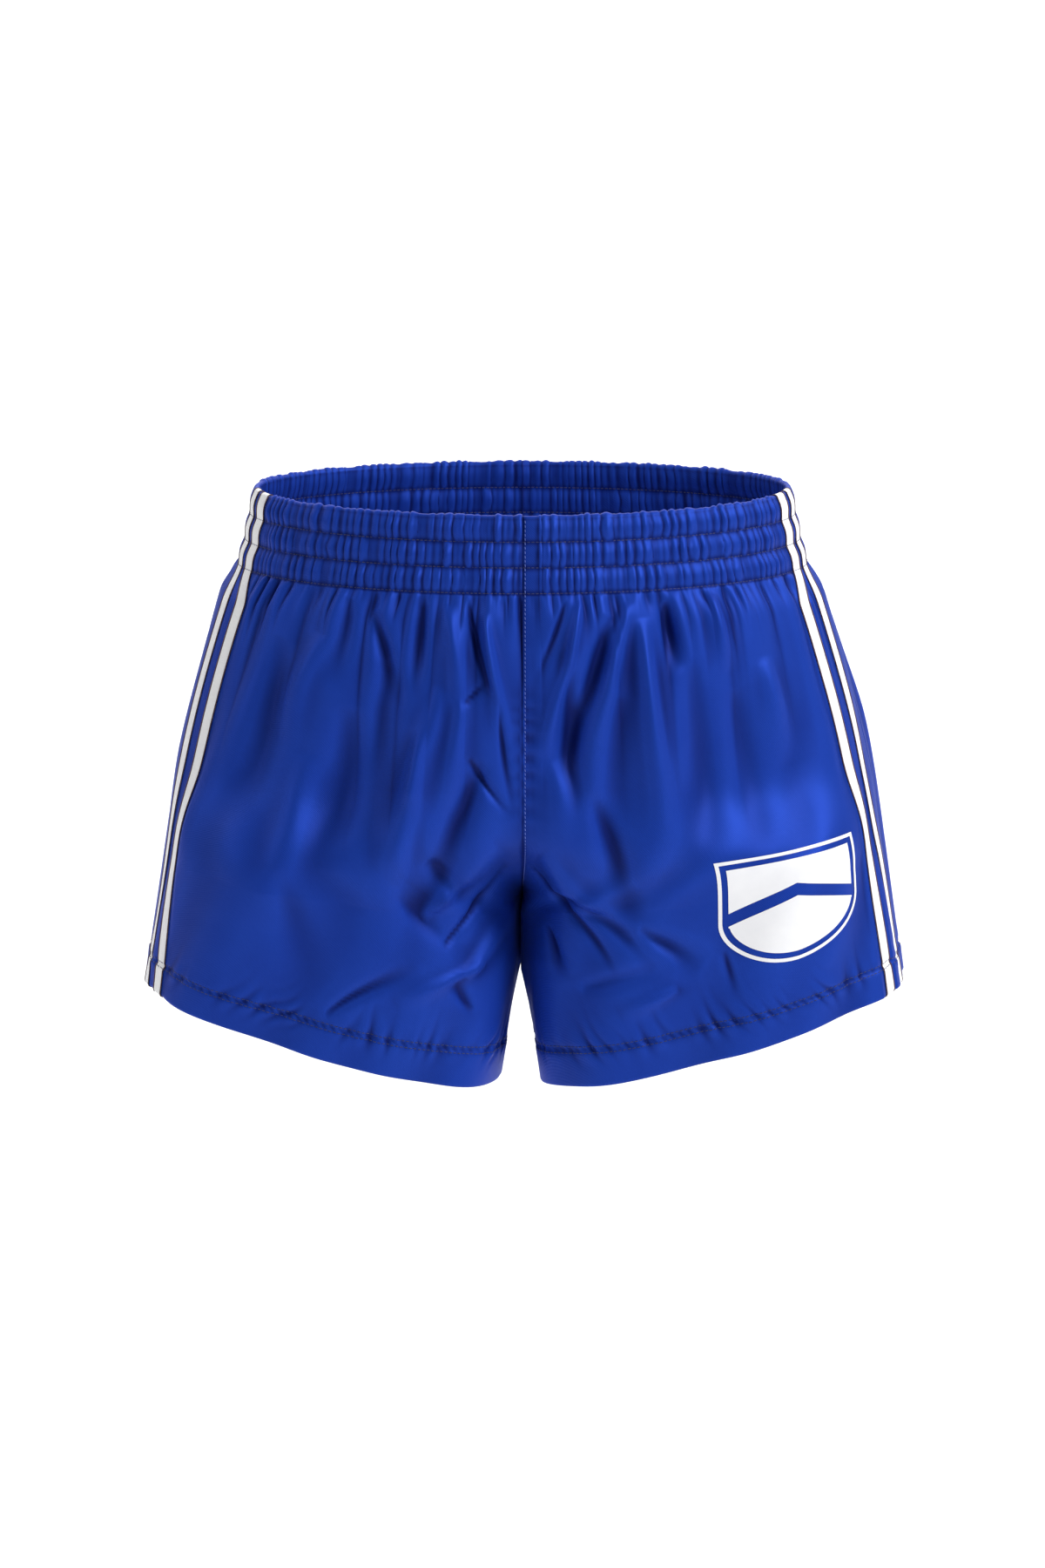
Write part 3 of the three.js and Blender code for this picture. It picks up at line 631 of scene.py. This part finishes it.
def stripe_cord(name, side, which, end):
    """The dark cord along one edge of a stripe, centred between two lines a hair apart."""

    def edges(level):
        near, far = stripe_edges(level)[which]
        at = near + CORD_INSET if end == 0 else far - CORD_INSET
        return at - 0.01, at + 0.01

    points, _ = along_path(side, edges, TAPE_LIFT, 2)
    above, _ = along_path(side, edges, TAPE_LIFT + 1, 2)
    centres = points.mean(1)
    normals = unit(above.mean(1) - centres)
    return tube(name, centres, normals, CORD_WIDE, CORD_HIGH)


def stitches(name, centres, tangents, normals, long, thick, tilt=0.0):
    """Stitches as closed ovals, one at each centre, laid along its tangent."""
    turns = np.linspace(0, 2 * np.pi, 7)[:-1]
    stations = np.array([-0.92, -0.6, 0, 0.6, 0.92])
    girth = np.sqrt(1 - stations**2) ** 0.7
    ring = np.stack(np.broadcast_arrays(
        stations[:, None] * long / 2,
        np.cos(turns)[None, :] * girth[:, None] * thick / 2,
        np.sin(turns)[None, :] * girth[:, None] * thick / 2,
    ), -1).reshape(-1, 3)
    across = unit(np.cross(normals, tangents))
    lean = unit(tangents + tilt * across)
    across = unit(np.cross(normals, lean))
    points = centres[:, None] + ring[None, :, :1] * lean[:, None]
    points = points + ring[None, :, 1:2] * across[:, None] + ring[None, :, 2:] * normals[:, None]
    sides, rows = len(turns), len(stations)
    quads = grid_faces(rows, sides, flip=True, ring=True)
    top = (rows - 1) * sides
    ends = np.array([[0, k, k + 1] for k in range(1, sides - 1)])
    caps = np.concatenate([ends[:, ::-1], ends + top])
    each = rows * sides
    shift = (np.arange(len(centres)) * each)[:, None, None]
    faces = (quads[None] + shift).reshape(-1, 4).tolist() + (caps[None] + shift).reshape(-1, 3).tolist()
    return new_object(name, points.reshape(-1, 3), faces)


def even_places(line, step):
    """Evenly spaced places along a line of points, with the tangent at each."""
    run = np.r_[0, np.cumsum(np.linalg.norm(np.diff(line, axis=0), axis=-1))]
    n = max(2, int(run[-1] / step))
    at = (np.arange(n) + 0.5) * run[-1] / n

    def on_line(place):
        return np.stack([np.interp(place, run, line[:, k]) for k in range(3)], -1)

    ahead, behind = on_line(np.minimum(at + step / 4, run[-1])), on_line(np.maximum(at - step / 4, 0))
    return on_line(at), unit(ahead - behind), at, run


def off_stripes(level, share):
    """Extra lift where a line of stitching crosses a stripe, in mm."""
    from_side = share * half_length(level)
    front, rear = stripe_edges(level)
    on = 0
    for near, far in (front, rear):
        on = on + smooth(near - 0.6, near, from_side) * (1 - smooth(far, far + 0.6, from_side))
    return 0.5 * on


def stitched_line(level, share, side, step, inside=False):
    """Centres, tangents and normals of a row of stitches along given levels and shares."""
    level, share = np.broadcast_arrays(np.asarray(level, float), np.asarray(share, float))
    if inside:
        points = cloth(level, share, side, 0.1, np.pi, STACK, -1.0)
    else:
        points = cloth(level, share, side, np.where(share < 0, off_stripes(level, share), 0.0) + 0.05)
    out, _ = outward(level, share)
    out = out * np.array([side, 1, 1]) * (-1 if inside else 1)
    centres, tangents, at, run = even_places(points, step)
    normals = unit(np.stack([np.interp(at, run, out[:, k]) for k in range(3)], -1))
    normals = unit(normals - (normals * tangents).sum(-1, keepdims=True) * tangents)
    return centres, tangents, normals


# Step, length and thickness of the stitches on the band, the hems and the front seam
BAND_STITCH = 2.6, 2.0, 0.55
HEM_STITCH = 2.9, 2.2, 0.55
RISE_STITCH = 2.7, 1.9, 0.42


def waist_row(name, row):
    """A row of stitches round the whole band, on its outside and again on its inside."""
    share = np.linspace(-1, 1, 900)
    level = RIM - CHANNEL * row
    step, long, thick = BAND_STITCH
    parts = [stitched_line(level, share, side, step, inside)
             for side in (1, -1) for inside in (False, True)]
    joined = [np.concatenate(group) for group in zip(*parts)]
    return stitches(name, *joined, long, thick)


def hem_row(name, level, side):
    """A row of stitches round one leg at a level above the hem."""
    share = np.linspace(-1, 1, 900)
    step, long, thick = HEM_STITCH
    centres, tangents, normals = stitched_line(level, share, side, step)
    return stitches(name, centres, tangents, normals, long, thick)


def rise_stitches(name):
    """The topstitch beside the front seam, from the rim down into the crotch curve."""
    level = np.linspace(RIM - 2, CURVE_TOP - CURVE * 0.86, 700)
    share = -1 + 1.6 / half_length(level)
    step, long, thick = RISE_STITCH
    centres, tangents, normals = stitched_line(level, share, 1, step)
    return stitches(name, centres, tangents, normals, long, thick, tilt=0.12)


# The printed shield: its size, the level and the distance from the side seam of its middle
MARK_WIDE, MARK_HIGH = 100.0, 80.0
MARK_AT = HEM + 96.0
MARK_SIDE = 118.0
# Its outline's width, the gap inside that, and the width and rise of the band across it
MARK_LINE, MARK_GAP, MARK_BAND, MARK_RISE = 2.5, 4.0, 9.0, 14.0
# Where its straight sides end, as a part of half its height, and how round its foot is
MARK_SHOULDER, MARK_FOOT_POWER = 0.1, 1.7


def on_mark(across, down, lift):
    """Points on the cloth of the left leg, from mm across and down from the mark's middle."""
    level = MARK_AT - down
    share = (across - MARK_SIDE) / half_length(level)
    return cloth(level, share, 1, lift)


def shield_foot(across):
    """How far down the shield's rounded foot reaches, as a part of half its height."""
    round_foot = np.sqrt(np.clip(1 - np.abs(across) ** MARK_FOOT_POWER, 0, None))
    return MARK_SHOULDER + (1 - MARK_SHOULDER) * round_foot


def mark_outline(name):
    """The shield's outline: its contour cut into even steps, and the same contour one line width in."""
    turn = np.linspace(0, np.pi, 160)
    curve = np.stack([np.cos(turn), shield_foot(np.cos(turn))], -1)
    top = np.stack([np.linspace(-1, 1, 110), np.full(110, -1.0)], -1)
    right = np.stack([np.full(60, 1.0), np.linspace(-1, MARK_SHOULDER, 60)], -1)[1:-1]
    left = np.stack([np.full(60, -1.0), np.linspace(MARK_SHOULDER, -1, 60)], -1)[1:-1]
    contour = np.concatenate([top, right, curve, left])
    place = np.linspace(0, 1, 4)[None, :, None]
    outer = contour * np.array([MARK_WIDE / 2, MARK_HIGH / 2])
    inner = contour * np.array([MARK_WIDE / 2 - MARK_LINE, MARK_HIGH / 2 - MARK_LINE])
    flat = outer[:, None] * (1 - place) + inner[:, None] * place
    points = on_mark(flat[..., 0], flat[..., 1], PRINT_LIFT)
    return grid_object(name, np.concatenate([points, points[:1]]))


def mark_field(name, upper):
    """One filled part of the shield, above or below its bent band."""
    half_wide = MARK_WIDE / 2 - MARK_LINE - MARK_GAP
    half_high = MARK_HIGH / 2 - MARK_LINE - MARK_GAP
    across = np.linspace(-1, 1, 120)
    middle = MARK_RISE * (np.abs(across) - 0.5) - MARK_BAND / 2
    if upper:
        top, foot = np.full(120, -half_high), middle - MARK_BAND / 2
    else:
        top = middle + MARK_BAND / 2
        foot = np.maximum(half_high * shield_foot(across), top + 1)
    place = np.linspace(0, 1, 44)[:, None]
    down = top[None] * (1 - place) + foot[None] * place
    points = on_mark(np.broadcast_to(across * half_wide, down.shape), down, PRINT_LIFT)
    return grid_object(name, points, flip=True)


def allowance(name, side, levels, back, at_side=False):
    """Two cloth edges bound together inside a seam, pressed flat, with a looped outer edge."""
    level = spread(levels, [1.6] * (len(levels) - 1))[:, None]
    place = np.linspace(0, 1, 7)[None, :]
    length = half_length(level, back)
    loops = 0.35 * np.sin(level * 2.1)
    inset = ALLOWANCE_START + (ALLOWANCE + loops - ALLOWANCE_START) * place
    share = inset / length if at_side else (1 - inset / length) * (1 if back else -1)
    face, rear = (cloth(level, share, side, depth) for depth in ALLOWANCE_FACES)
    section = np.concatenate([face, rear[:, ::-1]], 1)
    rows, cols = section.shape[:2]
    faces = grid_faces(rows, cols, flip=at_side == (side > 0), ring=True).tolist()
    faces.append(list(range(cols)))
    faces.append(list(range((rows - 1) * cols, rows * cols))[::-1])
    obj = new_object(name, section.reshape(-1, 3), faces)
    outward_faces(obj)
    return obj


def outward_faces(obj):
    """Turns a closed mesh's faces outward."""
    bm = bmesh.new()
    bm.from_mesh(obj.data)
    bmesh.ops.recalc_face_normals(bm, faces=bm.faces)
    bm.to_mesh(obj.data)
    bm.free()


# The web's two faces behind the band's face, and the height of its ribs
WEB_FACES = -1.15, -2.25
RIB = 0.12


def elastic(name):
    """A ribbed elastic web, a closed ring inside the band."""
    level = np.linspace(RIM - STACK / 2 - 0.5, FOOT, 48)
    rib = RIB * np.sin(np.linspace(0, 16 * np.pi, 48))
    share = np.linspace(-1, 1, 260)[:-1]
    rings = []
    for depth, sign in zip(WEB_FACES, (1, -1)):
        halves = []
        for side in (1, -1):
            s = share if side > 0 else -share
            out, _ = outward(level[:, None], s[None])
            p = base(level[:, None], s[None]) + out * (depth + sign * rib[:, None, None])
            p[..., 0] = p[..., 0] * side
            halves.append(p)
        rings.append(np.concatenate(halves, 1))
    section = np.concatenate([rings[0], rings[1][::-1]], 0).transpose(1, 0, 2)
    closed = np.concatenate([section, section[:1]])
    obj = grid_object(name, closed, ring=True)
    outward_faces(obj)
    return obj


def linear(hex_colour):
    """An sRGB hex colour as linear red, green, blue and alpha."""
    parts = [int(hex_colour[i : i + 2], 16) / 255 for i in (1, 3, 5)]
    return (*[c / 12.92 if c <= 0.04045 else ((c + 0.055) / 1.055) ** 2.4 for c in parts], 1.0)


def node(tree, kind, values=None, links=None, **settings):
    """Adds a node, sets its settings and input values, and links its inputs to other sockets."""
    made = tree.nodes.new(kind)
    for key, value in settings.items():
        setattr(made, key, value)
    for key, value in (values or {}).items():
        made.inputs[key].default_value = value
    for key, socket in (links or {}).items():
        tree.links.new(socket, made.inputs[key])
    return made


def material(name, **values):
    """A new material, with input values set on its shader's own sockets."""
    made = bpy.data.materials.new(name)
    made.use_nodes = True
    tree = made.node_tree
    shader = tree.nodes["Principled BSDF"]
    for key, value in values.items():
        shader.inputs[key.replace("_", " ")].default_value = value
    return made, tree, shader


def blend(tree, factor, low, high):
    """Mixes two colours, or the colours of two sockets, by a 0 to 1 value."""
    mix = node(tree, "ShaderNodeMix", links={0: factor}, data_type="RGBA")
    for index, colour in ((6, low), (7, high)):
        if isinstance(colour, tuple):
            mix.inputs[index].default_value = colour
        else:
            tree.links.new(colour, mix.inputs[index])
    return mix.outputs[2]


def satin():
    """Satin-woven polyester: long floats give broad blue highlights and deep shade in the folds, and
    more shade is painted into the colour in the hollows.
    """
    made, tree, shader = material(
        "satin_woven_polyester", Roughness=0.5, Metallic=0.3, IOR=1.45, Sheen_Weight=0.05,
        Sheen_Roughness=0.4, Sheen_Tint=linear("#7f95f5"), Specular_Tint=linear("#7d97ff"))
    where = node(tree, "ShaderNodeTexCoord").outputs
    # Slow change of dye and nap, a few centimetres across
    cloud = node(tree, "ShaderNodeTexNoise", {"Scale": 22.0, "Detail": 3.0},
                 {"Vector": where["Object"]})
    dyed = blend(tree, cloud.outputs["Fac"], linear("#15369a"), linear("#1d42ab"))
    # Painted shade: the colour darkens toward deep navy in the hollows between gathers, at the seams
    # and along the stitching
    painted_shade = node(tree, "ShaderNodeAttribute", attribute_name="painted_shade")
    deep = node(tree, "ShaderNodeMapRange", {"From Min": -0.1, "From Max": 1.0},
                {"Value": painted_shade.outputs["Fac"]})
    shade = blend(tree, deep.outputs["Result"], dyed, linear("#0b1a60"))
    tree.links.new(shade, shader.inputs["Base Color"])
    # Threads of 0.25 mm are drawn at 0.7 mm, so that they are not lost between samples
    warp = node(tree, "ShaderNodeTexWave", {"Scale": 450.0, "Distortion": 0.6, "Detail": 1.0},
                {"Vector": where["Object"]}, wave_type="BANDS", bands_direction="DIAGONAL")
    weft = node(tree, "ShaderNodeTexNoise", {"Scale": 900.0, "Detail": 2.0},
                {"Vector": where["Object"]})
    both = node(tree, "ShaderNodeMath", {}, {0: warp.outputs["Fac"], 1: weft.outputs["Fac"]},
                operation="ADD")
    dent = node(tree, "ShaderNodeBump", {"Strength": 0.3, "Distance": 0.0002},
                {"Height": both.outputs["Value"]})
    tree.links.new(dent.outputs["Normal"], shader.inputs["Normal"])
    return made


def tape_weave():
    """Flat woven tape: matt white yarn in fine cross ribs, a little grey in the grooves."""
    made, tree, shader = material("white_woven_tape", Roughness=0.62, IOR=1.5, Sheen_Weight=0.15,
                                  Sheen_Roughness=0.5)
    where = node(tree, "ShaderNodeTexCoord").outputs
    ribs = node(tree, "ShaderNodeTexWave", {"Scale": 280.0, "Distortion": 0.4, "Detail": 1.0},
                {"Vector": where["UV"]}, wave_type="BANDS", bands_direction="Y")
    soft = node(tree, "ShaderNodeTexNoise", {"Scale": 60.0, "Detail": 3.0}, {"Vector": where["Object"]})
    tint = blend(tree, soft.outputs["Fac"], linear("#e9e9ec"), linear("#fdfdfe"))
    tree.links.new(tint, shader.inputs["Base Color"])
    dent = node(tree, "ShaderNodeBump", {"Strength": 0.25, "Distance": 0.0002},
                {"Height": ribs.outputs["Fac"]})
    tree.links.new(dent.outputs["Normal"], shader.inputs["Normal"])
    return made


def yarn(name, dark, light, rough=0.6):
    """Spun thread: two shades of one colour twisted together."""
    made, tree, shader = material(name, Roughness=rough, IOR=1.5, Sheen_Weight=0.2, Sheen_Roughness=0.5)
    where = node(tree, "ShaderNodeTexCoord").outputs
    twist = node(tree, "ShaderNodeTexNoise", {"Scale": 1500.0, "Detail": 2.0},
                 {"Vector": where["Object"]})
    tint = blend(tree, twist.outputs["Fac"], linear(dark), linear(light))
    tree.links.new(tint, shader.inputs["Base Color"])
    return made


def film():
    """White heat-pressed film, smoother than the cloth, with the weave showing through faintly."""
    made, tree, shader = material("white_heat_pressed_film", Roughness=0.38, IOR=1.5)
    where = node(tree, "ShaderNodeTexCoord").outputs
    soft = node(tree, "ShaderNodeTexNoise", {"Scale": 45.0, "Detail": 4.0}, {"Vector": where["Object"]})
    tint = blend(tree, soft.outputs["Fac"], linear("#e6e7ec"), linear("#fbfbfd"))
    tree.links.new(tint, shader.inputs["Base Color"])
    weave = node(tree, "ShaderNodeTexNoise", {"Scale": 900.0, "Detail": 1.0},
                 {"Vector": where["Object"]})
    dent = node(tree, "ShaderNodeBump", {"Strength": 0.08, "Distance": 0.0002},
                {"Height": weave.outputs["Fac"]})
    tree.links.new(dent.outputs["Normal"], shader.inputs["Normal"])
    return made


def dress(obj, look, slot, *nodes):
    """Gives a piece its material and body, and hides the model's parts that it stands for. The slot is
    not used.
    """
    obj.data.materials.append(look)
    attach(obj, "root")
    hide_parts(*nodes)
    return obj


SATIN = satin()
TAPE = tape_weave()
# Partly painted shade: the stitching thread is a darker blue than the cloth, its own colour darkened
# further for the shade where stitches sink into their rows
SEWING = yarn("blue_sewing_thread", "#0b1650", "#132468")
# Painted highlight: the front topstitch is coloured a lighter blue than the other stitching, standing
# in for the light its thread catches
TOPSTITCH = yarn("topstitch_thread_painted_highlight", "#4660c4", "#7088de")
MAROON = yarn("maroon_edge_thread", "#351a2c", "#5a3040")
BOUND = yarn("bound_cloth_edge", "#13267a", "#223d9c", 0.55)
FILM = film()
WEB = yarn("elastic_rubber_web", "#c9cacf", "#e4e5e8", 0.8)

EACH = (("left", 1), ("right", -1))
for word, side in EACH:
    for place, back in (("front", False), ("back", True)):
        name = f"{place}_panel_{word}"
        dress(panel(f"{name}_cloth", side, back), SATIN, "satin_cloth", name)
    for which, at in (("front", 0), ("rear", 1)):
        name = f"{which}_stripe_{word}"
        dress(stripe(f"{name}_tape", side, at), TAPE, "white_tape", name)
        for end, edge in enumerate(("front", "rear")):
            name = f"{which}_stripe_thread_{edge}_{word}"
            made = stripe_cord(f"{name}_cord", side, at, end)
            dress(made, MAROON, "maroon_thread", name)
    for row, level in (("upper", HEM_ROW), ("lower", HEM_ROW - HEM_ROW_STEP)):
        name = f"hem_stitch_{row}_{word}"
        dress(hem_row(f"{name}_stitches", level, side), SEWING, "blue_thread", name)
    body = [CASING_EDGE - 1, -60, -150, CURVE_TOP, CROTCH, HEM_EDGE + 1]
    name = f"side_seam_allowance_{word}"
    made = allowance(f"{name}_edge", side, body, True, at_side=True)
    dress(made, BOUND, "bound_edge", name)
    name = f"inseam_allowance_{word}"
    made = allowance(f"{name}_edge", side, [CROTCH - 1, HEM_EDGE + 1], True)
    dress(made, BOUND, "bound_edge", name)
rise = [CASING_EDGE - 1, -60, -150, CURVE_TOP, CROTCH + 1]
for place, back in (("front", False), ("back", True)):
    name = f"{place}_rise_allowance"
    dress(allowance(f"{name}_edge", 1, rise, back), BOUND, "bound_edge", name)
for row in (1, 2, 3):
    name = f"waist_stitch_row_{row}"
    dress(waist_row(f"{name}_stitches", row), SEWING, "blue_thread", name)
dress(rise_stitches("front_rise_topstitch_stitches"), TOPSTITCH, "blue_thread",
                       "front_rise_topstitch")
dress(mark_outline("mark_outline_print"), FILM, "white_print", "mark_outline")
for word, upper in (("upper", True), ("lower", False)):
    name = f"mark_{word}_field"
    dress(mark_field(f"{name}_print", upper), FILM, "white_print", name)
dress(elastic("waist_elastic_web"), WEB, "elastic_web", "waist_elastic")


def area_light(name, at, aim, size, power):
    """A soft rectangular lamp at one place, turned toward another."""
    data = bpy.data.lights.new(name, "AREA")
    data.shape = "RECTANGLE"
    data.size, data.size_y = size
    data.energy = power
    obj = bpy.data.objects.new(name, data)
    obj.location = at
    direction = np.array(aim) - np.array(at)
    obj.rotation_euler = Vector(direction).to_track_quat("-Z", "Y").to_euler()
    bpy.context.scene.collection.objects.link(obj)


def stage():
    """A plain pale floor, soft light from the upper right and a long lens from the front."""
    scene = bpy.context.scene
    scene.view_settings.view_transform = "Standard"
    world = bpy.data.worlds.new("studio")
    scene.world = world
    world.use_nodes = True
    world.node_tree.nodes["Background"].inputs["Color"].default_value = (1, 1, 1, 1)
    world.node_tree.nodes["Background"].inputs["Strength"].default_value = 0.16
    area_light("key", (2.1, -1.5, 1.9), (0, 0, -0.15), (1.1, 1.1), 96)
    area_light("fill", (-2.5, -1.0, 1.0), (0, 0, -0.15), (1.2, 1.2), 15)
    area_light("floor_light", (0, 11, 4), (0, 11.001, -1), (16, 20), 1900)
    # The camera's angle above level, its distance, what it looks at, and how much it sees there
    elevation = math.radians(9.2)
    distance = 8.0
    centre = np.array([0.0, 0.0, -0.1634])
    seen = 0.972
    data = bpy.data.cameras.new("camera")
    data.sensor_fit = "VERTICAL"
    data.sensor_height = 36
    data.lens = data.sensor_height * distance / seen
    data.clip_end = 50
    camera = bpy.data.objects.new("camera", data)
    camera.location = centre + distance * np.array([0, -math.cos(elevation), math.sin(elevation)])
    camera.rotation_euler = (math.pi / 2 - elevation, 0, 0)
    scene.collection.objects.link(camera)
    scene.camera = camera
    left, near, right, far, low = -12000, -8000, 12000, 30000, -900
    corners = [[left, near, low], [right, near, low], [right, far, low], [left, far, low]]
    floor = new_object("floor", corners, [[0, 1, 2, 3]])
    look, _, shader = material("pale_floor", Roughness=0.9)
    shader.inputs["Base Color"].default_value = (0.9, 0.9, 0.9, 1)
    floor.data.materials.append(look)


stage()
